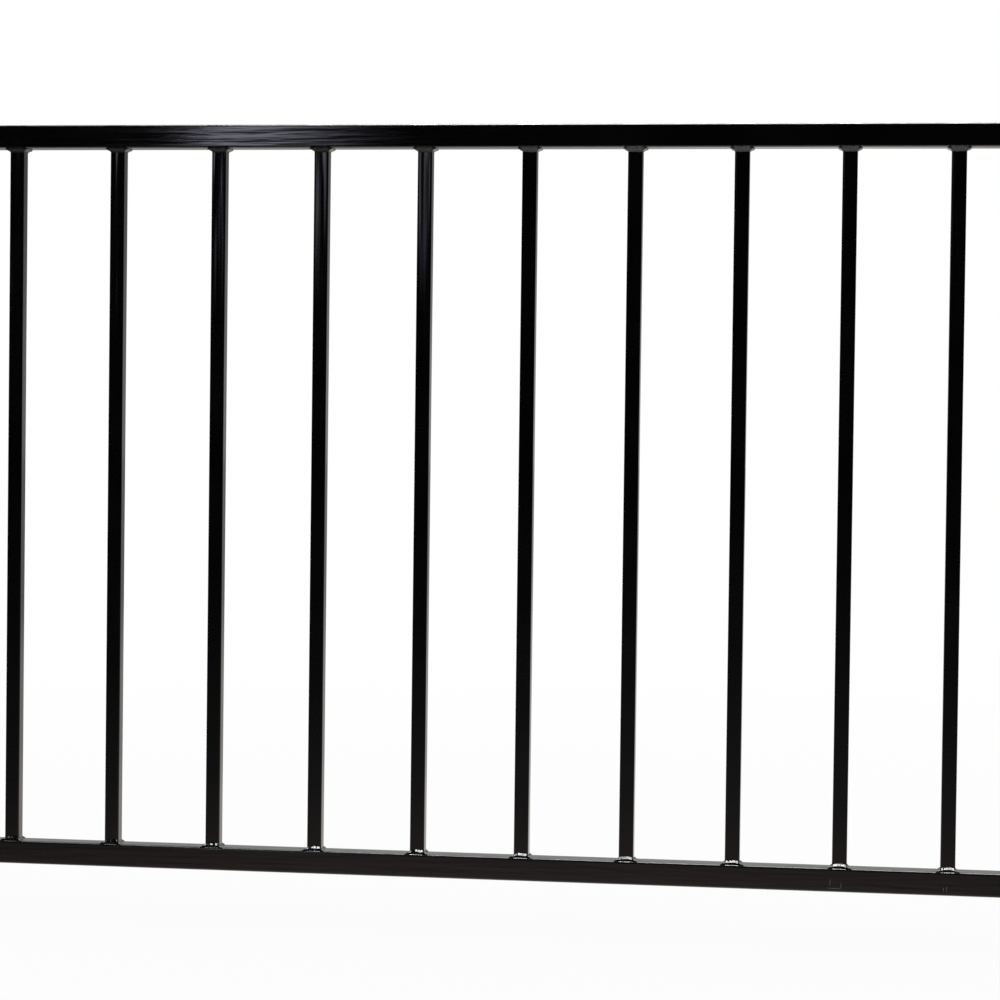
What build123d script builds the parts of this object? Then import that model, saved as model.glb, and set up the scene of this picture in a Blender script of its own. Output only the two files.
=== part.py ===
"""Welded steel fence panel, in millimetres.

Square pickets stand between a bottom and a top rail of square tube, and a fillet weld runs round
both ends of every picket. X runs along the rails from the panel's left end, Y runs through the
panel with its front at -Y, and Z is up. The origin is the middle of the bottom rail's left end.
"""

import os
from math import sqrt

from build123d import *

os.makedirs("parts", exist_ok=True)

# Driving dimensions of the panel
panel_height = 818.0
picket_count = 20
picket_pitch = 114.3
end_overhang = 95.25  # from the middle of the last picket to the end of the rail

# Square tube of the rails, 1 in across
rail_size = 25.4
rail_wall = 1.2
rail_corner_radius = 2.4

# Square tube of the pickets, 5/8 in across
picket_size = 15.875
picket_wall = 0.9
picket_corner_radius = 1.8

# Fillet welds, which nearly fill the ledge of rail that shows beside a picket
weld_leg = 4.2
weld_fullness = 0.37  # middle of the hollow face as a share of the leg, where 0.5 is a straight face

# Places worked out from the dimensions above
rail_length = 2 * end_overhang + (picket_count - 1) * picket_pitch
rail_half = rail_size / 2
rail_distance = panel_height - rail_size  # between the axes of the two rails
picket_half = picket_size / 2
picket_length = rail_distance - rail_size
picket_centres = [end_overhang + place * picket_pitch for place in range(picket_count)]
weld_reach = picket_half + weld_leg
weld_corner_cut = picket_corner_radius * (2 - sqrt(2))  # flat across a rounded corner of the picket


def square_tube(end_plane, size, wall, corner_radius, length):
    """A square tube with rounded corners, drawn on its end plane and run along that plane's normal."""
    with BuildPart() as tube:
        with BuildSketch(end_plane):
            RectangleRounded(size, size, corner_radius)
            offset(amount=-wall, mode=Mode.SUBTRACT)
        extrude(amount=length)
    return tube


def save(piece, name):
    """Label a finished piece and write it to its own file."""
    piece.part.label = name
    export_step(piece.part, f"parts/{name}.step")


# Rails, open at both ends
for rail_name, rail_axis_height in (("bottom_rail", 0), ("top_rail", rail_distance)):
    rail_end = Plane(origin=(0, 0, rail_axis_height), x_dir=(0, 1, 0), z_dir=(1, 0, 0))
    save(square_tube(rail_end, rail_size, rail_wall, rail_corner_radius, rail_length), rail_name)

# Pickets, cut square and butted between the rails
for number, centre in enumerate(picket_centres, start=1):
    picket_foot = Plane(origin=(centre, 0, rail_half))
    picket = square_tube(picket_foot, picket_size, picket_wall, picket_corner_radius, picket_length)
    save(picket, f"picket_{number:02d}")

# One weld: its section swept round the picket, then cut to sit on the rail and its rounded edges
with BuildPart() as weld:
    with BuildSketch(Plane.XY.offset(rail_half), mode=Mode.PRIVATE) as picket_outline:
        Rectangle(picket_size, picket_size)
        chamfer(picket_outline.vertices(), weld_corner_cut)
    with BuildSketch(Plane(origin=(picket_half, 0, rail_half), x_dir=(1, 0, 0), z_dir=(0, -1, 0))):
        with BuildLine():
            toe = (weld_leg, 0)
            face_middle = (weld_fullness * weld_leg, weld_fullness * weld_leg)
            shoulder = (0, weld_leg)
            buried_edge = [(0, -rail_corner_radius), (weld_leg, -rail_corner_radius)]
            Polyline(toe, face_middle, shoulder, *buried_edge, close=True)
        make_face()
    sweep(path=picket_outline.wire(), transition=Transition.RIGHT)
    with BuildSketch(Plane.YZ):
        RectangleRounded(rail_size, rail_size, rail_corner_radius)
    extrude(amount=2 * weld_reach, both=True, mode=Mode.SUBTRACT)

# The welds along the bottom rail, and the same welds turned over along the top rail
with BuildPart() as bottom_rail_welds:
    with Locations([(centre, 0, 0) for centre in picket_centres]):
        add(weld.part)
save(bottom_rail_welds, "bottom_rail_welds")

with BuildPart() as top_rail_welds:
    mirror(bottom_rail_welds.part, about=Plane.XY.offset(rail_distance / 2))
save(top_rail_welds, "top_rail_welds")
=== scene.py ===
"""Looks of the welded fence panel: paint, weld beads, stage, light and camera.

Lengths are metres in the panel's own frame: X along the rails from the left end, Y through the
panel with the front at -Y, Z up, and the origin in the middle of the bottom rail's left end.
"""

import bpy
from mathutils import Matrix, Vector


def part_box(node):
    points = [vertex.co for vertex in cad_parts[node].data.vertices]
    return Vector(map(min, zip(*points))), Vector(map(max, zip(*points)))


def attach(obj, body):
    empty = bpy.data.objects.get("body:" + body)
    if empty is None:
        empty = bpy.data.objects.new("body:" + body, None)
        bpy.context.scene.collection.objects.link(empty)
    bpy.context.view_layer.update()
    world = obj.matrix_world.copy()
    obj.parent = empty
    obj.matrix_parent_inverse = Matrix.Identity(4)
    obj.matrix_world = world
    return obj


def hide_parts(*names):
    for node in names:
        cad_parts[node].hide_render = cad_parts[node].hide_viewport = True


bl_info = {
    "name": "Welded Fence Panel Looks",
    "version": (1, 0, 0),
    "blender": (4, 5, 0),
    "location": "3D View > Sidebar > Fence Panel",
    "description": "Gloss black paint, weld beads and a white stage for a welded fence panel",
    "category": "Object",
}

from math import pi

import bpy
from mathutils import Matrix, Vector

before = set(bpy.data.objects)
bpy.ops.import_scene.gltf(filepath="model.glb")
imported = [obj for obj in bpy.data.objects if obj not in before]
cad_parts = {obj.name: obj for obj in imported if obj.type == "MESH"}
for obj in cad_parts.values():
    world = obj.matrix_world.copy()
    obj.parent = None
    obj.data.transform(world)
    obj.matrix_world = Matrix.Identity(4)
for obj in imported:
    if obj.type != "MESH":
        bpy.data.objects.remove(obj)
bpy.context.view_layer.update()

BODY = "root"
RAILS = ("bottom_rail", "top_rail")
PICKETS = sorted(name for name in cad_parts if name.startswith("picket_"))

# Sizes read from the frame
RAIL_LOW, RAIL_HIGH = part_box("bottom_rail")
TOP_RAIL_LOW, TOP_RAIL_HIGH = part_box("top_rail")
RAIL_SIZE = RAIL_HIGH.z - RAIL_LOW.z
PICKET_BOXES = [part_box(name) for name in PICKETS]
PICKET_SIZE = PICKET_BOXES[0][1].x - PICKET_BOXES[0][0].x
PICKET_CENTRES = [(low.x + high.x) / 2 for low, high in PICKET_BOXES]
MM = 0.001

# Outer corner radii of the two tubes
PICKET_CORNER = 1.8 * MM
RAIL_CORNER = 2.4 * MM


# Node helpers

class Reading:
    """A number on a node's output. Sums with it make Math nodes in the same tree."""

    def __init__(self, tree, socket):
        self.tree = tree
        self.socket = socket

    def math(self, operation, first, *others):
        node = self.tree.nodes.new("ShaderNodeMath")
        node.operation = operation
        for item, place in zip((first, *others), node.inputs):
            feed(self.tree, item, place)
        return Reading(self.tree, node.outputs[0])

    def __add__(self, other):
        return self.math("ADD", self, other)

    def __radd__(self, other):
        return self.math("ADD", other, self)

    def __sub__(self, other):
        return self.math("SUBTRACT", self, other)

    def __rsub__(self, other):
        return self.math("SUBTRACT", other, self)

    def __mul__(self, other):
        return self.math("MULTIPLY", self, other)

    def __truediv__(self, other):
        return self.math("DIVIDE", self, other)

    def __rtruediv__(self, other):
        return self.math("DIVIDE", other, self)

    def sine(self):
        return self.math("SINE", self)

    def absolute(self):
        return self.math("ABSOLUTE", self)

    def root(self):
        return self.math("SQRT", self)

    def power(self, exponent):
        return self.math("POWER", self, exponent)

    def rounded(self):
        return self.math("ROUND", self)

    def sign(self):
        return self.math("SIGN", self)

    def at_least(self, limit):
        return self.math("MAXIMUM", self, limit)

    def at_most(self, limit):
        return self.math("MINIMUM", self, limit)

    def above(self, limit):
        return self.math("GREATER_THAN", self, limit)

    def ramp(self, start, end, low=0.0, high=1.0, smooth=True):
        """low at start, high at end, held outside them."""
        node = self.tree.nodes.new("ShaderNodeMapRange")
        node.interpolation_type = "SMOOTHSTEP" if smooth else "LINEAR"
        inputs = {"Value": self, "From Min": start, "From Max": end, "To Min": low, "To Max": high}
        for name, item in inputs.items():
            feed(self.tree, item, node.inputs[name])
        return Reading(self.tree, node.outputs[0])


def feed(tree, item, socket):
    """Link a reading or a socket to an input, or set the input to a plain number."""
    if isinstance(item, Reading):
        tree.links.new(item.socket, socket)
    elif isinstance(item, bpy.types.NodeSocket):
        tree.links.new(item, socket)
    else:
        socket.default_value = item


def add_node(tree, kind, settings=None, **inputs):
    """A new node with its settings and its inputs, whose names have _ for a space."""
    node = tree.nodes.new(kind)
    for name, value in (settings or {}).items():
        setattr(node, name, value)
    for name, item in inputs.items():
        feed(tree, item, node.inputs[name.replace("_", " ")])
    return node


def split(tree, vector):
    """The X, Y and Z readings of a vector socket."""
    node = add_node(tree, "ShaderNodeSeparateXYZ", Vector=vector)
    return [Reading(tree, out) for out in node.outputs]


def join(tree, x, y, z):
    """A vector socket made from three readings or numbers."""
    return add_node(tree, "ShaderNodeCombineXYZ", X=x, Y=y, Z=z).outputs[0]


def add_vectors(tree, first, second):
    """A vector socket with the sum of two vectors."""
    node = add_node(tree, "ShaderNodeVectorMath", {"operation": "ADD"})
    feed(tree, first, node.inputs[0])
    feed(tree, second, node.inputs[1])
    return node.outputs[0]


def mix_shaders(tree, share, first, second):
    """A shader socket from first to second by share."""
    node = tree.nodes.new("ShaderNodeMixShader")
    for item, place in zip((share, first, second), node.inputs):
        feed(tree, item, place)
    return node.outputs[0]


def link(thing):
    """Put a new object into the scene."""
    bpy.context.scene.collection.objects.link(thing)


def noise(tree, vector, scale, detail=2.0, roughness=0.5, shift=None):
    """A noise reading from 0 to 1. With a shift it is a 4D noise, different at each shift."""
    dimensions = "3D" if shift is None else "4D"
    node = add_node(tree, "ShaderNodeTexNoise", {"noise_dimensions": dimensions},
                    Vector=vector, Scale=scale, Detail=detail, Roughness=roughness)
    if shift is not None:
        feed(tree, shift, node.inputs["W"])
    return Reading(tree, node.outputs["Fac"])


# Paint

# Length of the paint's streaks along X, Y and Z
PICKET_GRAIN = (0.006, 0.006, 0.16)
RAIL_GRAIN = (0.07, 0.004, 0.004)
WELD_GRAIN = (0.005, 0.005, 0.005)

# Patterns, counted in a metre
CLOUDS = 11.0
SPECKLES = 700.0
MOTTLES = 90.0

ZINC_DARK = (0.30, 0.31, 0.32, 1)
ZINC_PALE = (0.46, 0.47, 0.48, 1)
EDGE_WAVES = 0.1  # strength of the streaks that is left on a tube's rounded edges
POOLED_WEAR = 0.15  # share of the edge wear that is left beside a weld


def new_material(name):
    """An empty node material with a Principled shader wired to its output."""
    material = bpy.data.materials.new(name)
    material.use_nodes = True
    tree = material.node_tree
    tree.nodes.clear()
    shader = tree.nodes.new("ShaderNodeBsdfPrincipled")
    output = tree.nodes.new("ShaderNodeOutputMaterial")
    tree.links.new(shader.outputs[0], output.inputs["Surface"])
    return material, tree, shader


def gloss_black(name, paint, grain, streak_share=1.0, streak_detail=2.0):
    """Gloss black powder coat. The grain gives the length of its streaks along X, Y and Z.

    Gives back the material, its tree, its shader, the object place and the streaks' bump.
    """
    material, tree, shader = new_material(name)
    place = add_node(tree, "ShaderNodeTexCoord").outputs["Object"]
    stretch = [1 / length for length in grain]
    along = add_node(tree, "ShaderNodeMapping", Vector=place, Scale=stretch).outputs[0]
    streaks = noise(tree, along, 1.0, streak_detail, 0.5)
    peel = noise(tree, place, 1 / paint.peel_size, 2.0, 0.5)
    cloud = noise(tree, place, CLOUDS, 3.0, 0.6)
    shade = mix_colour(tree, cloud.ramp(0.35, 0.75), (*paint.colour, 1), (*paint.colour_worn, 1))
    tree.links.new(shade, shader.inputs["Base Color"])
    rough = streaks.ramp(0.25, 0.8, paint.roughness * 0.75, paint.roughness * 1.45)
    tree.links.new(rough.socket, shader.inputs["Roughness"])
    waves = add_node(tree, "ShaderNodeBump", Strength=1.0, Height=streaks,
                     Distance=paint.streak_height * streak_share)
    skin = add_node(tree, "ShaderNodeBump", Strength=1.0, Height=peel,
                    Distance=paint.peel_height, Normal=waves.outputs[0])
    tree.links.new(skin.outputs[0], shader.inputs["Normal"])
    shader.inputs["IOR"].default_value = paint.gloss_ior
    return material, tree, shader, place, waves


def mix_colour(tree, share, first, second):
    """A colour socket from first to second by share."""
    node = add_node(tree, "ShaderNodeMix", {"data_type": "RGBA"})
    feed(tree, share, node.inputs[0])
    feed(tree, first, node.inputs[6])
    feed(tree, second, node.inputs[7])
    return node.outputs[2]


def nearest_picket(x):
    """The nearest picket's place in the row, counted from 0, and x measured from its middle."""
    pitch = PICKET_CENTRES[1] - PICKET_CENTRES[0]
    number = ((x - PICKET_CENTRES[0]) / pitch).rounded()
    return number, x - PICKET_CENTRES[0] - number * pitch


def picket_paint(paint):
    """Gloss black for the pickets, each set very slightly askew by the welder."""
    material, tree, _, place, waves = gloss_black(
        "gloss_black_pickets", paint, PICKET_GRAIN, streak_share=0.9, streak_detail=0.6)
    x, y, _ = split(tree, place)
    number, across = nearest_picket(x)
    chance = add_node(tree, "ShaderNodeTexWhiteNoise", {"noise_dimensions": "1D"},
                      W=number + paint.askew_seed)
    lean = (0.5 - Reading(tree, chance.outputs["Value"])) * (2 * paint.askew)
    askew = add_node(tree, "ShaderNodeBump", Strength=1.0, Distance=1.0, Height=across * lean)
    tree.links.new(askew.outputs[0], waves.inputs["Normal"])
    corner = across.absolute().at_most(y.absolute())
    flat = PICKET_SIZE / 2 - PICKET_CORNER
    feed(tree, corner.ramp(flat - 1.0 * MM, flat, 1.0, EDGE_WAVES), waves.inputs["Strength"])
    return material


def weld_paint(paint):
    """Gloss black for the beads, paler and duller on those under the right half of the top rail: partly
    dust, partly a painted reflection of the pale floor.
    """
    material, tree, shader, place, _ = gloss_black(
        "gloss_black_welds", paint, WELD_GRAIN, streak_share=0.25)
    x, _, z = split(tree, place)
    speckle = noise(tree, place, SPECKLES, 2.0, 0.6)
    # Painted reflection with some dust: the beads under the right half of the top rail get a paler,
    # rougher paint that stands in for the pale floor mirrored in them, broken up by dust speckle
    dust_and_sheen = z.ramp(RAIL_HIGH.z, TOP_RAIL_LOW.z, smooth=False).ramp(0.8, 0.9)
    dust_and_sheen = dust_and_sheen * x.ramp(PICKET_CENTRES[8], PICKET_CENTRES[11]) * speckle.ramp(0.3, 0.6, 0.45, 1.0)
    _, across = nearest_picket(x)
    dust_and_sheen = dust_and_sheen * across.absolute().ramp(PICKET_SIZE * 0.65, PICKET_SIZE * 0.45, 0.15, 1.0)
    painted = shader.inputs["Base Color"].links[0].from_socket
    tree.links.new(mix_colour(tree, dust_and_sheen, painted, (*paint.dust_and_sheen_colour, 1)), shader.inputs["Base Color"])
    rough = Reading(tree, shader.inputs["Roughness"].links[0].from_socket)
    tree.links.new((rough + dust_and_sheen * 0.25).socket, shader.inputs["Roughness"])
    return material


def scratch(x, z, start, end, width):
    """Share of a straight scratch on the front, from start to end, each an X and a Z in metres."""
    run = Vector(end) - Vector(start)
    length = run.length
    run = run / length
    along = (x - start[0]) * run[0] + (z - start[1]) * run[1]
    beside = ((x - start[0]) * run[1] - (z - start[1]) * run[0]).absolute()
    past = (along - length / 2).absolute() - length / 2
    return beside.ramp(width * 0.5, width * 0.2) * past.ramp(width, 0.0)


def rail_paint(paint):
    """Gloss black for the rails, with scratches on the bottom rail's front and bare zinc inside."""
    material, tree, shader, place, waves = gloss_black("gloss_black_rails", paint, RAIL_GRAIN)
    x, y, z = split(tree, place)
    bare = (RAIL_SIZE / 2 - paint.tube_wall * 0.6, RAIL_SIZE / 2 - paint.tube_wall * 0.4)
    middle = (RAIL_LOW.z + RAIL_HIGH.z) / 2
    top_middle = (TOP_RAIL_LOW.z + TOP_RAIL_HIGH.z) / 2
    nearest = (z - middle).absolute().at_most((z - top_middle).absolute())
    flat = RAIL_SIZE / 2 - RAIL_CORNER
    corner = y.absolute().at_most(nearest)
    feed(tree, corner.ramp(flat - 1.5 * MM, flat, 1.0, EDGE_WAVES), waves.inputs["Strength"])
    handled = corner.ramp(flat, flat + RAIL_CORNER * 0.5)

    # Paint that pools round a weld keeps the edge beside it glossy
    _, across = nearest_picket(x)
    clear = across.absolute().ramp(PICKET_SIZE * 0.65, PICKET_SIZE * 0.85, POOLED_WEAR, 1.0)
    handled = handled * clear
    inside = y.absolute().at_least(nearest).ramp(bare[1], bare[0], smooth=False)
    from_end = (x - RAIL_LOW.x).at_most(RAIL_HIGH.x - x)
    mottle = noise(tree, place, MOTTLES, 3.0, 0.6)
    overspray = (from_end + (mottle - 0.5) * 0.05).ramp(0.012, 0.06)
    zinc = inside * overspray

    # Scuffs under the feet of two pickets
    near = PICKET_CENTRES[13]
    far = PICKET_CENTRES[14]
    low = RAIL_LOW.z
    marks = (
        ((near + 0.0020, low + 0.0050), (near + 0.0022, low + 0.0092)),
        ((near - 0.0112, low + 0.0042), (near + 0.0010, low + 0.0041)),
        ((near - 0.0098, low + 0.0072), (near - 0.0092, low + 0.0132)),
        ((far - 0.0012, low + 0.0046), (far - 0.0006, low + 0.0096)),
        ((far - 0.0042, low + 0.0050), (far - 0.0046, low + 0.0085)),
    )
    worn = None
    for start, end in marks:
        mark = scratch(x, z, start, end, paint.scratch_width)
        worn = mark if worn is None else worn.at_least(mark)
    worn = worn * y.ramp(RAIL_LOW.y + 0.3 * MM, RAIL_LOW.y + 0.1 * MM)

    painted = shader.inputs["Base Color"].links[0].from_socket
    scratched = mix_colour(tree, worn * 0.8, painted, (*paint.scratch_colour, 1))
    galvanised = mix_colour(tree, mottle.ramp(0.3, 0.7), ZINC_DARK, ZINC_PALE)
    tree.links.new(mix_colour(tree, zinc, scratched, galvanised), shader.inputs["Base Color"])
    rough = Reading(tree, shader.inputs["Roughness"].links[0].from_socket)
    rough = rough + handled * paint.edge_wear
    tree.links.new((rough + worn * 0.35 + zinc * 0.35).socket, shader.inputs["Roughness"])
    tree.links.new((zinc * 0.9).socket, shader.inputs["Metallic"])
    return material


class FENCE_PG_paint(bpy.types.PropertyGroup):
    """Gloss black powder coat."""

    colour: bpy.props.FloatVectorProperty(
        name="Colour", description="Colour of the sound paint",
        default=(0.0009, 0.0008, 0.0009), size=3, subtype="COLOR")
    colour_worn: bpy.props.FloatVectorProperty(
        name="Dusty Colour", description="Colour where fine dust and handling dull the paint",
        default=(0.0020, 0.0018, 0.0017), size=3, subtype="COLOR")
    roughness: bpy.props.FloatProperty(
        name="Roughness", description="Mean roughness of the coat",
        default=0.055, min=0.02, max=1.0, subtype="FACTOR")
    gloss_ior: bpy.props.FloatProperty(
        name="Gloss Index", description="Refractive index of the coat",
        default=1.55, min=1.0, max=3.0)
    peel_size: bpy.props.FloatProperty(
        name="Peel Size", description="Width of one dimple of the orange peel",
        default=1.6 * MM, unit="LENGTH")
    peel_height: bpy.props.FloatProperty(
        name="Peel Height", description="Height of the orange peel",
        default=0.004 * MM, unit="LENGTH")
    askew: bpy.props.FloatProperty(
        name="Askew", description="Most that a picket's front turns away from the panel's front",
        default=0.017, subtype="ANGLE")
    askew_seed: bpy.props.FloatProperty(
        name="Askew Seed", description="Picks how each picket turns",
        default=1973.0)
    scratch_width: bpy.props.FloatProperty(
        name="Scratch Width", description="Width of a scratch in the paint",
        default=0.8 * MM, unit="LENGTH")
    scratch_colour: bpy.props.FloatVectorProperty(
        name="Scratch Colour", description="Colour of scratched paint",
        default=(0.09, 0.09, 0.095), size=3, subtype="COLOR")
    # Paler paint on some beads under the top rail: partly dust, partly a painted reflection of the pale
    # floor
    dust_and_sheen_colour: bpy.props.FloatVectorProperty(
        name="Dust And Sheen Colour", description="Colour of dusty paint on the beads",
        default=(0.055, 0.054, 0.053), size=3, subtype="COLOR")
    edge_wear: bpy.props.FloatProperty(
        name="Edge Wear", description="Roughness that handling adds on a rail's rounded edges",
        default=0.3, min=0.0, max=1.0, subtype="FACTOR")
    tube_wall: bpy.props.FloatProperty(
        name="Tube Wall", description="Wall of the rail tube",
        default=1.2 * MM, unit="LENGTH")
    streak_height: bpy.props.FloatProperty(
        name="Streak Height", description="Height of the streaks along a tube",
        default=0.19 * MM, unit="LENGTH")


class FENCE_PG_welds(bpy.types.PropertyGroup):
    """Weld beads round the picket ends."""

    front_climb: bpy.props.FloatProperty(
        name="Front Climb", description="Reach of a bead up the front and back of a picket",
        default=4.8 * MM, unit="LENGTH")
    end_climb: bpy.props.FloatProperty(
        name="End Climb", description="Reach of a bead up the picket at the ends of the front and back",
        default=2.8 * MM, unit="LENGTH")
    side_climb: bpy.props.FloatProperty(
        name="Side Climb", description="Reach of a bead up the left and right of a picket",
        default=1.6 * MM, unit="LENGTH")
    side_reach: bpy.props.FloatProperty(
        name="Side Reach", description="Reach of a bead along the rail on the left and right",
        default=2.4 * MM, unit="LENGTH")
    front_reach: bpy.props.FloatProperty(
        name="Front Reach", description="Reach of a bead along the rail on the front and back",
        default=3.5 * MM, unit="LENGTH")
    corner_reach: bpy.props.FloatProperty(
        name="Corner Reach", description="Further reach of a bead at the picket's corners",
        default=4.4 * MM, unit="LENGTH")
    front_fullness: bpy.props.FloatProperty(
        name="Front Fullness",
        description="Face of a bead on the front and back, from 0 hollow to 1 full",
        default=1.0, subtype="FACTOR")
    corner_fullness: bpy.props.FloatProperty(
        name="Corner Fullness",
        description="Face of a bead at the picket's corners, from 0 hollow to 1 full",
        default=0.55, subtype="FACTOR")
    side_fullness: bpy.props.FloatProperty(
        name="Side Fullness",
        description="Face of a bead on the left and right, from 0 hollow to 1 full",
        default=0.3, subtype="FACTOR")
    side_nose: bpy.props.FloatProperty(
        name="Side Nose",
        description="Blunt end of a bead on the left and right, as a share of its climb",
        default=0.0, subtype="FACTOR")
    lump: bpy.props.FloatProperty(
        name="Lumps", description="Uneven growth of a bead along its run",
        default=0.9 * MM, unit="LENGTH")
    ripple_height: bpy.props.FloatProperty(
        name="Ripple Height", description="Height of the ripples across a bead",
        default=0.012 * MM, unit="LENGTH")
    ripple_pitch: bpy.props.FloatProperty(
        name="Ripple Pitch", description="Distance from one ripple to the next",
        default=1.5 * MM, unit="LENGTH")
    top_end_climb: bpy.props.FloatProperty(
        name="Top End Climb", description="End climb of the beads under the top rail",
        default=4.4 * MM, unit="LENGTH")
    top_side_climb: bpy.props.FloatProperty(
        name="Top Side Climb", description="Side climb of the beads under the top rail",
        default=3.2 * MM, unit="LENGTH")
    top_side_reach: bpy.props.FloatProperty(
        name="Top Side Reach", description="Side reach of the beads under the top rail",
        default=4.9 * MM, unit="LENGTH")
    top_front_reach: bpy.props.FloatProperty(
        name="Top Front Reach", description="Front reach of the beads under the top rail",
        default=4.4 * MM, unit="LENGTH")
    top_corner_reach: bpy.props.FloatProperty(
        name="Top Corner Reach", description="Corner reach of the beads under the top rail",
        default=1.5 * MM, unit="LENGTH")
    top_front_fullness: bpy.props.FloatProperty(
        name="Top Front Fullness", description="Front fullness of the beads under the top rail",
        default=0.5, subtype="FACTOR")
    top_side_fullness: bpy.props.FloatProperty(
        name="Top Side Fullness", description="Side fullness of the beads under the top rail",
        default=0.9, subtype="FACTOR")
    top_side_nose: bpy.props.FloatProperty(
        name="Top Side Nose", description="Side nose of the beads under the top rail",
        default=0.38, subtype="FACTOR")
    seed: bpy.props.FloatProperty(
        name="Seed", description="Picks the set of uneven beads",
        default=3.0)


class FENCE_PG_stage(bpy.types.PropertyGroup):
    """Floor, light and camera."""

    floor_drop: bpy.props.FloatProperty(
        name="Ground Gap", description="Height of the bottom rail above the floor",
        default=0.05, unit="LENGTH")
    floor_reach: bpy.props.FloatProperty(
        name="Floor Reach", description="Half the width of the floor",
        default=40.0, unit="LENGTH")
    floor_colour: bpy.props.FloatVectorProperty(
        name="Floor Colour", description="Colour of the floor",
        default=(0.82, 0.82, 0.82), size=3, subtype="COLOR")
    window_aside: bpy.props.FloatProperty(
        name="Window Aside", description="Slope from the panel to the soft window, to the right",
        default=-0.246)
    window_left: bpy.props.FloatProperty(
        name="Window Left", description="Fade of the soft window to the left, as a slope",
        default=0.016)
    window_right: bpy.props.FloatProperty(
        name="Window Right", description="Fade of the soft window to the right, as a slope",
        default=0.060)
    window_foot: bpy.props.FloatVectorProperty(
        name="Window Foot", description="Slopes between which the soft window fades in upwards",
        default=(0.045, 0.105), size=2)
    window_level: bpy.props.FloatProperty(
        name="Window Level", description="Brightness of the soft window",
        default=3.6)
    lamp_place: bpy.props.FloatVectorProperty(
        name="Lamp Place", description="Middle of the overhead light",
        default=(1.73, 0.11, 1.55), size=3, subtype="TRANSLATION", unit="LENGTH")
    lamp_width: bpy.props.FloatProperty(
        name="Lamp Width", description="Length of the overhead light along the rails",
        default=1.94, unit="LENGTH")
    lamp_depth: bpy.props.FloatProperty(
        name="Lamp Depth", description="Width of the overhead light from front to back",
        default=0.52, unit="LENGTH")
    lamp_power: bpy.props.FloatProperty(
        name="Lamp Power", description="Power of the overhead light",
        default=63.5, unit="POWER")
    first_picket: bpy.props.IntProperty(
        name="First Picket", description="Number of the first picket in the picture",
        default=6, min=1)
    camera_right: bpy.props.FloatProperty(
        name="Camera Right", description="Camera's distance to the right of the first picket in view",
        default=0.9489, unit="LENGTH")
    camera_back: bpy.props.FloatProperty(
        name="Camera Back", description="Camera's distance in front of the panel",
        default=2.9385, unit="LENGTH")
    camera_height: bpy.props.FloatProperty(
        name="Camera Height", description="Camera's height above the underside of the panel",
        default=0.4864, unit="LENGTH")
    camera_yaw: bpy.props.FloatProperty(
        name="Camera Yaw", description="Camera's turn to the right",
        default=-0.1373, subtype="ANGLE")
    camera_pitch: bpy.props.FloatProperty(
        name="Camera Pitch", description="Camera's tilt upwards",
        default=-0.0250, subtype="ANGLE")
    camera_roll: bpy.props.FloatProperty(
        name="Camera Roll", description="Camera's roll",
        default=-0.0125, subtype="ANGLE")
    lens: bpy.props.FloatProperty(
        name="Focal Length", description="Focal length in millimetres on a 36 mm frame",
        default=98.44)


# Weld beads

PATH_STEPS = 168
FACE_STEPS = 12
BURIED_STEPS = 4
BURIED = 0.25 * MM
BEAD_INPUTS = (
    "Picket Size", "Picket Corner", "Rail Size", "Rail Corner",
    "Front Climb", "End Climb", "Side Climb",
    "Side Reach", "Front Reach", "Corner Reach",
    "Front Fullness", "Corner Fullness", "Side Fullness", "Side Nose",
    "Lumps", "Ripple Height", "Ripple Pitch", "Seed", "Up",
)

# Uneven growth: patterns counted in a metre, and steps that keep the noises apart
SWELLS = 110.0
LEANS = 170.0
BULGES = 230.0
WOBBLES = 300.0
PICKET_STEP = 3.7
NOISE_STEP = 40.0
TOP_RAIL_STEP = 50.0

# Face of a bead
HOLLOW_PULL = 1.35  # fullness of the hollow fillet's curve
PLATE_SHARE = 0.6  # share of the face's steps on its straight part
PLATE_REACH = 0.88  # share of the reach that the straight part covers


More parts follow.
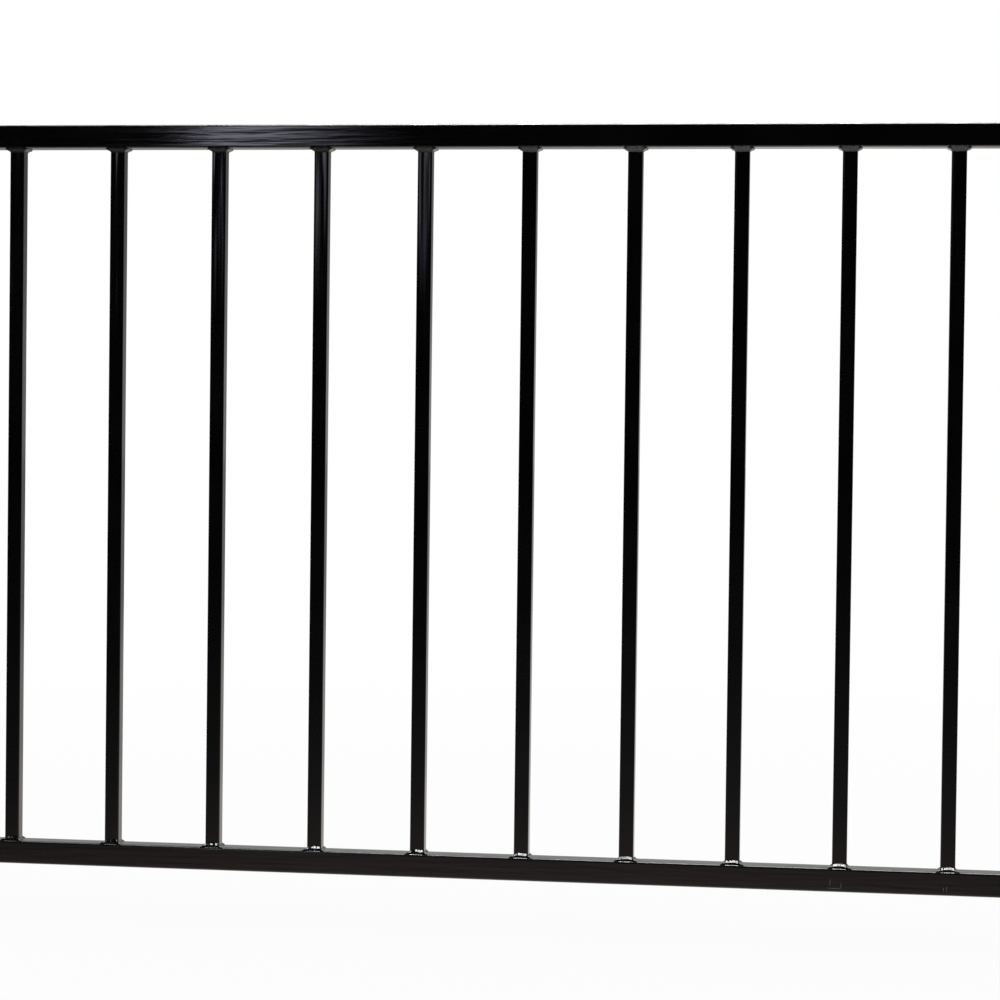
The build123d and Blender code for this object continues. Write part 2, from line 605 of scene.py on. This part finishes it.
def bead_tree(material):
    """Geometry nodes that lay one closed bead round a picket at each point of the input mesh."""
    tree = bpy.data.node_groups.new("weld_beads", "GeometryNodeTree")
    tree.interface.new_socket("Geometry", in_out="INPUT", socket_type="NodeSocketGeometry")
    tree.interface.new_socket("Geometry", in_out="OUTPUT", socket_type="NodeSocketGeometry")
    for name in BEAD_INPUTS:
        tree.interface.new_socket(name, in_out="INPUT", socket_type="NodeSocketFloat")
    entry = tree.nodes.new("NodeGroupInput")
    size = {name: Reading(tree, entry.outputs[name]) for name in BEAD_INPUTS}

    def stored(geometry, name, kind, value, domain="POINT"):
        return add_node(tree, "GeometryNodeStoreNamedAttribute", {"data_type": kind, "domain": domain},
                        Geometry=geometry, Name=name, Value=value).outputs[0]

    def named(name, kind):
        return add_node(tree, "GeometryNodeInputNamedAttribute", {"data_type": kind}, Name=name).outputs[0]

    # A unit sheet: X runs round the picket, Y runs down the face of the bead and back under it
    sheet = add_node(tree, "GeometryNodeMeshGrid", Size_X=1.0, Size_Y=1.0, Vertices_X=PATH_STEPS + 1,
                     Vertices_Y=FACE_STEPS + BURIED_STEPS + 1).outputs[0]
    sheet_x, sheet_y, _ = split(tree, add_node(tree, "GeometryNodeInputPosition").outputs[0])
    sheet = stored(sheet, "round", "FLOAT", (sheet_x + 0.5).socket)
    sheet = stored(sheet, "down", "FLOAT", (sheet_y + 0.5).socket)

    # One sheet for each picket end, which remembers its foot and its number
    foot = add_node(tree, "GeometryNodeInputPosition").outputs[0]
    index = add_node(tree, "GeometryNodeInputIndex").outputs[0]
    feet = stored(entry.outputs["Geometry"], "foot", "FLOAT_VECTOR", foot)
    feet = stored(feet, "number", "FLOAT", index)
    laid = add_node(tree, "GeometryNodeInstanceOnPoints", Points=feet, Instance=sheet).outputs[0]
    laid = add_node(tree, "GeometryNodeRealizeInstances", Geometry=laid).outputs[0]
    number = Reading(tree, named("number", "FLOAT"))
    run = Reading(tree, named("round", "FLOAT"))
    down = Reading(tree, named("down", "FLOAT"))

    # The middle of the bead runs round the picket's outline
    middle = size["Front Climb"] * 0.5
    outline_size = size["Picket Size"] + middle * 2
    outline = add_node(tree, "GeometryNodeCurvePrimitiveQuadrilateral",
                       Width=outline_size, Height=outline_size).outputs[0]
    outline = add_node(tree, "GeometryNodeFilletCurve", {"mode": "POLY"}, Curve=outline, Count=10,
                       Radius=size["Picket Corner"] + middle).outputs[0]
    sample = add_node(tree, "GeometryNodeSampleCurve", {"mode": "FACTOR"}, Curves=outline, Factor=run)
    path_x, path_y, _ = split(tree, sample.outputs["Position"])
    tangent_x, tangent_y, _ = split(tree, sample.outputs["Tangent"])
    toward = (path_x * tangent_y - path_y * tangent_x).sign()
    out_x = tangent_y * toward
    out_y = 0.0 - tangent_x * toward

    # Uneven growth, different at each picket
    shift = number * PICKET_STEP + size["Seed"]
    path = join(tree, path_x, path_y, 0.0)
    share = noise(tree, join(tree, shift * 1.3, 0.0, 0.0), 1.0, 0.0)
    lumps = size["Lumps"] * share.ramp(0.3, 0.7, 0.4, 1.7)
    swell = noise(tree, path, SWELLS, 2.0, 0.5, shift) - 0.5
    lean = noise(tree, path, LEANS, 2.0, 0.5, shift + NOISE_STEP) - 0.5
    bulge = noise(tree, path, BULGES, 2.0, 0.5, shift + 2 * NOISE_STEP) - 0.5
    frontness = out_y.absolute().ramp(0.45, 0.95)
    across = path_x / (outline_size * 0.5)
    arch = frontness * (1.0 - across * across).at_least(0.0)
    corner = out_x * out_y * 2.0
    corner = corner * corner * (out_y * size["Up"]).ramp(0.2, -0.2, 0.3, 1.0)
    reach = size["Side Reach"] + (size["Front Reach"] - size["Side Reach"]) * frontness
    reach = reach + size["Corner Reach"] * corner
    reach = reach + swell * lumps * 1.2
    climb = size["Side Climb"] + (size["End Climb"] - size["Side Climb"]) * frontness
    climb = climb + (size["Front Climb"] - size["End Climb"]) * arch + lean * lumps * 1.6
    full = size["Side Fullness"] + (size["Front Fullness"] - size["Side Fullness"]) * frontness
    full = full.at_least(size["Corner Fullness"] * corner) + bulge * lumps / MM * 0.6

    # The face: a hollow fillet blended with a straight face that ends in a rounded nose, rippled
    face_share = FACE_STEPS / (FACE_STEPS + BURIED_STEPS)
    face = (down / face_share).at_most(1.0)
    hump = (face * pi).sine().power(2.0)
    length = run * (outline_size * 4)
    wobble = noise(tree, path, WOBBLES, 1.0, 0.5, shift + 3 * NOISE_STEP)
    ripple_turn = length / size["Ripple Pitch"] * (2 * pi) + wobble * 5.0
    ripple_turn = ripple_turn + (face - 0.5).power(2.0) * 9.0
    rise = ripple_turn.sine() * size["Ripple Height"] * hump * 0.7071
    back = 1.0 - face
    hollow_out = reach * (back * face * face * HOLLOW_PULL + face * face * face) + rise
    hollow_up = climb * (back * back * back + back * back * face * HOLLOW_PULL) + rise
    plate = (face / PLATE_SHARE).at_most(1.0)
    past = ((face - PLATE_SHARE) / (1 - PLATE_SHARE)).at_least(0.0)
    left = 1.0 - past
    side_nose = size["Side Nose"] * (1.0 - frontness)
    nose = 0.10 + arch * 0.36 + (corner * 0.35).at_least(side_nose)
    full_out = reach * (plate * PLATE_REACH + (1.0 - left * left) * (1 - PLATE_REACH)) + rise
    plate_up = 1.0 - plate * (1.0 - nose) - nose
    nose_bow = left * past * 2.0 * (nose - 0.08)
    full_up = climb * (plate_up + left * left * nose + nose_bow) + rise
    face_out = hollow_out + (full_out - hollow_out) * full
    face_up = hollow_up + (full_up - hollow_up) * full

    # The buried sides, inside the rail and the picket
    under = ((down - face_share) / (1.0 - face_share)).at_least(0.0)
    buried_out = under.ramp(0.0, 0.5, reach, -BURIED, smooth=False)
    buried_out = buried_out + under.ramp(0.75, 1.0, 0.0, BURIED, smooth=False)
    buried_up = under.ramp(0.0, 0.25, 0.0, -BURIED, smooth=False)
    buried_up = buried_up + under.ramp(0.5, 1.0, 0.0, climb + BURIED, smooth=False)
    hidden = under.above(0.0001)
    out = face_out + (buried_out - face_out) * hidden
    up = face_up + (buried_up - face_up) * hidden

    # Down the rounded edge of the rail at the toe
    local_x = path_x + out_x * (out - middle)
    local_y = path_y + out_y * (out - middle)
    edge = size["Rail Size"] * 0.5 - 0.15 * MM
    local_y = local_y.at_most(edge).at_least(0.0 - edge)
    flat = size["Rail Size"] * 0.5 - size["Rail Corner"]
    over = (local_y.absolute() - flat).at_least(0.0).at_most(size["Rail Corner"] * 0.98)
    drop = size["Rail Corner"] - (size["Rail Corner"] * size["Rail Corner"] - over * over).root()
    up = up - drop * face.at_least(hidden)

    place = join(tree, local_x, local_y * size["Up"], up * size["Up"])
    place = add_vectors(tree, named("foot", "FLOAT_VECTOR"), place)
    beads = add_node(tree, "GeometryNodeSetPosition", Geometry=laid, Position=place).outputs[0]
    beads = add_node(tree, "GeometryNodeMergeByDistance", Geometry=beads, Distance=0.005 * MM).outputs[0]
    beads = add_node(tree, "GeometryNodeSetShadeSmooth", Geometry=beads).outputs[0]
    beads = add_node(tree, "GeometryNodeRealizeInstances", Geometry=beads).outputs[0]
    beads = add_node(tree, "GeometryNodeSetMaterial", Geometry=beads, Material=material).outputs[0]
    leave = tree.nodes.new("NodeGroupOutput")
    tree.links.new(beads, leave.inputs[0])
    return tree


def lay_beads(name, tree, welds, height, up):
    """One piece with the beads of a rail. Up is 1 on the bottom rail and -1 under the top rail."""
    points = bpy.data.meshes.new(name + "_feet")
    points.from_pydata([(x, 0, height) for x in PICKET_CENTRES], [], [])
    feet = bpy.data.objects.new(name + "_feet", points)
    link(feet)
    modifier = feet.modifiers.new("beads", "NODES")
    modifier.node_group = tree
    values = {
        "Picket Size": PICKET_SIZE, "Picket Corner": PICKET_CORNER,
        "Rail Size": RAIL_SIZE, "Rail Corner": RAIL_CORNER,
        "Front Climb": welds.front_climb, "End Climb": welds.end_climb,
        "Side Climb": welds.side_climb, "Side Reach": welds.side_reach,
        "Front Reach": welds.front_reach, "Corner Reach": welds.corner_reach,
        "Front Fullness": welds.front_fullness, "Corner Fullness": welds.corner_fullness,
        "Side Fullness": welds.side_fullness, "Side Nose": welds.side_nose, "Lumps": welds.lump,
        "Ripple Height": welds.ripple_height, "Ripple Pitch": welds.ripple_pitch,
        "Seed": welds.seed, "Up": up,
    }
    if up < 0:
        values["End Climb"] = welds.top_end_climb
        values["Side Climb"] = welds.top_side_climb
        values["Side Reach"] = welds.top_side_reach
        values["Front Reach"] = welds.top_front_reach
        values["Corner Reach"] = welds.top_corner_reach
        values["Front Fullness"] = welds.top_front_fullness
        values["Side Fullness"] = welds.top_side_fullness
        values["Corner Fullness"] = welds.top_side_fullness
        values["Side Nose"] = welds.top_side_nose
        values["Seed"] = welds.seed + TOP_RAIL_STEP
    for item in tree.interface.items_tree:
        if item.in_out == "INPUT" and item.name in values:
            modifier[item.identifier] = float(values[item.name])
    graph = bpy.context.evaluated_depsgraph_get()
    mesh = bpy.data.meshes.new_from_object(feet.evaluated_get(graph))
    feet.modifiers.remove(modifier)
    bpy.data.objects.remove(feet)
    if not mesh.polygons:
        raise RuntimeError(f"{name} came out empty")
    mesh.name = name
    piece = bpy.data.objects.new(name, mesh)
    link(piece)
    return piece


def set_finish(node, material):
    """Give a CAD node's every slot this material."""
    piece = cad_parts[node]
    if not piece.data.materials:
        piece.data.materials.append(material)
    for slot in piece.material_slots:
        slot.material = material


class FENCE_OT_rails(bpy.types.Operator):
    """Paint the two rails."""

    bl_idname = "fence.rails"
    bl_label = "Paint Rails"

    def execute(self, context):
        paint = context.scene.fence_paint
        material = rail_paint(paint)
        for node in RAILS:
            set_finish(node, material)
        return {"FINISHED"}


class FENCE_OT_pickets(bpy.types.Operator):
    """Paint the pickets."""

    bl_idname = "fence.pickets"
    bl_label = "Paint Pickets"

    def execute(self, context):
        paint = context.scene.fence_paint
        material = picket_paint(paint)
        for node in PICKETS:
            set_finish(node, material)
        return {"FINISHED"}


class FENCE_OT_welds(bpy.types.Operator):
    """Lay the weld beads along both rails."""

    bl_idname = "fence.welds"
    bl_label = "Lay Weld Beads"

    def execute(self, context):
        paint = context.scene.fence_paint
        welds = context.scene.fence_welds
        material = weld_paint(paint)
        tree = bead_tree(material)
        for name, node, height, up in (
            ("bottom_weld_beads", "bottom_rail_welds", RAIL_HIGH.z, 1.0),
            ("top_weld_beads", "top_rail_welds", TOP_RAIL_LOW.z, -1.0),
        ):
            piece = lay_beads(name, tree, welds, height, up)
            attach(piece, BODY)
            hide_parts(node)
        return {"FINISHED"}


# Stage

WHITE = (1, 1, 1, 1)

# Floor, by distance from the panel in metres
FLOOR_ROUGHNESS = 0.9
SHADOW_REACH = (1.0, 4.0)  # over which the panel's shadow fades out
SHADOW_WHITE = 0.92  # share of plain white that the camera sees in the shadow

# Floor in reflections, a painted pool of light: glossy rays see the floor glow with a tinted emission,
# brightest near the panel and right of its middle, fading in front and far behind
FLOOR_TINT_DEPTH = (-1.5, 0.5)
FLOOR_TINT_MIDDLE = (1, 0.82, 0.77, 1)
FLOOR_TINT_BACK = (1, 0.95, 0.90, 1)
FLOOR_HALF = 0.24  # distance in front of the panel at which it is half as bright
POOL_ASIDE = 0.12  # its bright pool lies this far right of the panel's middle
POOL_REACH = (0.15, 1.1)
POOL_RIM = 0.6
FLOOR_BACK = (0.8, 1.6, 0.85, 0.68)  # two depths behind the panel, and the level at each

# Room in reflections. A fade is two slopes, and the level at each.
ROOM_TINT = (1, 0.99, 0.98, 1)
ROOM_FADE = (-0.15, 0.55, 0.004, 1.0)
WALL_FADE = (0.0, 0.10, 0.52, 0.25)
CEILING_FADE = (0.11, 0.16, 0.0, 0.37)
WINDOW_TINT = (0.92, 0.92, 1.15, 1)
WINDOW_SKIRT = 0.45  # level at which the window first fades in
WINDOW_FADE = (0.095, 0.122, 0.0, 0.55)
WINDOW_TOP = (0.45, 0.30)


def floor_material(stage):
    """A pale floor that the camera sees as white paper with a faint shadow, and that glows in reflections
    as a painted pool of light.
    """
    material, tree, shader = new_material("white_floor")
    shader.inputs["Base Color"].default_value = (*stage.floor_colour, 1)
    shader.inputs["Roughness"].default_value = FLOOR_ROUGHNESS
    shader.inputs["Specular IOR Level"].default_value = 0.0
    output = next(node for node in tree.nodes if node.type == "OUTPUT_MATERIAL")
    paths = tree.nodes.new("ShaderNodeLightPath")
    place = add_node(tree, "ShaderNodeTexCoord").outputs["Object"]
    side, depth, _ = split(tree, place)
    side = side - (RAIL_LOW.x + RAIL_HIGH.x) / 2
    far = (side * side + depth * depth).root().ramp(*SHADOW_REACH, SHADOW_WHITE, 1.0)
    glow = add_node(tree, "ShaderNodeEmission", Color=WHITE, Strength=1.0)
    tint = add_node(tree, "ShaderNodeValToRGB", Fac=depth.ramp(*FLOOR_TINT_DEPTH, smooth=False))
    tint.color_ramp.elements[0].color = WHITE
    tint.color_ramp.elements[1].color = FLOOR_TINT_BACK
    middle = tint.color_ramp.elements.new(0.5)
    middle.color = FLOOR_TINT_MIDDLE
    # Painted pool of light: an emission, not the floor's lit colour, that only glossy rays see
    painted_pool = add_node(tree, "ShaderNodeEmission", Color=tint.outputs[0])
    nearness = FLOOR_HALF / ((0.0 - depth).at_least(0.0) + FLOOR_HALF)
    pool = (side - POOL_ASIDE).absolute().ramp(*POOL_REACH, 1.0, POOL_RIM)
    feed(tree, nearness * pool * depth.ramp(*FLOOR_BACK), painted_pool.inputs["Strength"])
    white = Reading(tree, paths.outputs["Is Camera Ray"]) * far
    seen = mix_shaders(tree, white, shader.outputs[0], glow.outputs[0])
    whole = mix_shaders(tree, paths.outputs["Is Glossy Ray"], seen, painted_pool.outputs[0])
    tree.links.new(whole, output.inputs["Surface"])
    return material


def make_floor(stage):
    """A wide flat floor under the panel."""
    reach = stage.floor_reach
    height = RAIL_LOW.z - stage.floor_drop
    corners = ((-reach, -reach), (reach, -reach), (reach, reach), (-reach, reach))
    mesh = bpy.data.meshes.new("floor")
    mesh.from_pydata([(x, y, height) for x, y in corners], [], [(0, 1, 2, 3)])
    floor = bpy.data.objects.new("floor", mesh)
    link(floor)
    mesh.materials.append(floor_material(stage))


def make_world(stage):
    """White all round; in reflections a dark front with a soft window, and a pale back."""
    world = bpy.data.worlds.new("white_studio")
    bpy.context.scene.world = world
    world.use_nodes = True
    tree = world.node_tree
    tree.nodes.clear()
    direction = add_node(tree, "ShaderNodeTexCoord").outputs["Generated"]
    side, back, up = split(tree, direction)
    front = (0.0 - back).at_least(0.05)
    aside = side / front - stage.window_aside
    across = aside.ramp(-stage.window_left, 0.0) * aside.ramp(stage.window_right, 0.0)
    height = up / front
    rise = height.ramp(*stage.window_foot, 0.0, WINDOW_SKIRT) + height.ramp(*WINDOW_FADE)
    rise = rise * height.ramp(*WINDOW_TOP)
    window = across * rise * back.ramp(0.0, -0.3, 0.0, stage.window_level)
    paths = tree.nodes.new("ShaderNodeLightPath")
    seen = add_node(tree, "ShaderNodeBackground", Color=WHITE, Strength=1.0)
    wall = up.ramp(*WALL_FADE) + up.ramp(*CEILING_FADE)
    room = add_node(tree, "ShaderNodeBackground", Color=ROOM_TINT, Strength=back.ramp(*ROOM_FADE) * wall)
    pane = add_node(tree, "ShaderNodeBackground", Color=WINDOW_TINT, Strength=window)
    lit = add_node(tree, "ShaderNodeAddShader")
    tree.links.new(room.outputs[0], lit.inputs[0])
    tree.links.new(pane.outputs[0], lit.inputs[1])
    both = mix_shaders(tree, paths.outputs["Is Glossy Ray"], seen.outputs[0], lit.outputs[0])
    output = tree.nodes.new("ShaderNodeOutputWorld")
    tree.links.new(both, output.inputs["Surface"])


def make_light(stage):
    """A soft rectangular light that faces straight down, hidden from diffuse light."""
    lamp = bpy.data.lights.new("overhead_strip", "AREA")
    lamp.shape = "RECTANGLE"
    lamp.size = stage.lamp_width
    lamp.size_y = stage.lamp_depth
    lamp.energy = stage.lamp_power
    light = bpy.data.objects.new("overhead_strip", lamp)
    light.location = stage.lamp_place
    light.visible_diffuse = False
    link(light)


def make_camera(stage):
    """A camera at the photo's place, looking along +Y before its turns."""
    camera = bpy.data.cameras.new("camera")
    camera.sensor_width = 36.0
    camera.lens = stage.lens
    eye = bpy.data.objects.new("camera", camera)
    turn = Matrix.Rotation(-stage.camera_yaw, 4, "Z")
    tilt = Matrix.Rotation(pi / 2 + stage.camera_pitch, 4, "X")
    roll = Matrix.Rotation(-stage.camera_roll, 4, "Z")
    place = Vector((PICKET_CENTRES[stage.first_picket - 1] + stage.camera_right, -stage.camera_back,
                    RAIL_LOW.z + stage.camera_height))
    eye.matrix_world = Matrix.Translation(place) @ turn @ tilt @ roll
    link(eye)
    bpy.context.scene.camera = eye


class FENCE_OT_stage(bpy.types.Operator):
    """Set the floor, the light and the camera."""

    bl_idname = "fence.stage"
    bl_label = "Set Stage"

    def execute(self, context):
        stage = context.scene.fence_stage
        make_floor(stage)
        make_world(stage)
        make_light(stage)
        make_camera(stage)
        context.scene.view_settings.view_transform = "Standard"
        return {"FINISHED"}


class FENCE_PT_sidebar(bpy.types.Panel):
    """Lists the steps and the sizes of the panel's looks."""

    bl_idname = "FENCE_PT_sidebar"
    bl_label = "Fence Panel"
    bl_space_type = "VIEW_3D"
    bl_region_type = "UI"
    bl_category = "Fence Panel"

    def draw(self, context):
        layout = self.layout
        for step in STEPS:
            layout.operator(step.bl_idname)
        for group in (context.scene.fence_paint, context.scene.fence_welds, context.scene.fence_stage):
            box = layout.box()
            for name in group.__annotations__:
                box.prop(group, name)


STEPS = (FENCE_OT_rails, FENCE_OT_pickets, FENCE_OT_welds, FENCE_OT_stage)
GROUPS = {"fence_paint": FENCE_PG_paint, "fence_welds": FENCE_PG_welds, "fence_stage": FENCE_PG_stage}


def register():
    """Register the classes and hang the settings on the scene."""
    for item in (*GROUPS.values(), *STEPS, FENCE_PT_sidebar):
        bpy.utils.register_class(item)
    for name, group in GROUPS.items():
        setattr(bpy.types.Scene, name, bpy.props.PointerProperty(type=group))


def unregister():
    """Take the settings and the classes away again."""
    for name in GROUPS:
        delattr(bpy.types.Scene, name)
    for item in reversed((*GROUPS.values(), *STEPS, FENCE_PT_sidebar)):
        bpy.utils.unregister_class(item)


def main():
    """Run every step in order."""
    register()
    bpy.ops.fence.rails()
    bpy.ops.fence.pickets()
    bpy.ops.fence.welds()
    bpy.ops.fence.stage()


if __name__ == "__main__":
    main()
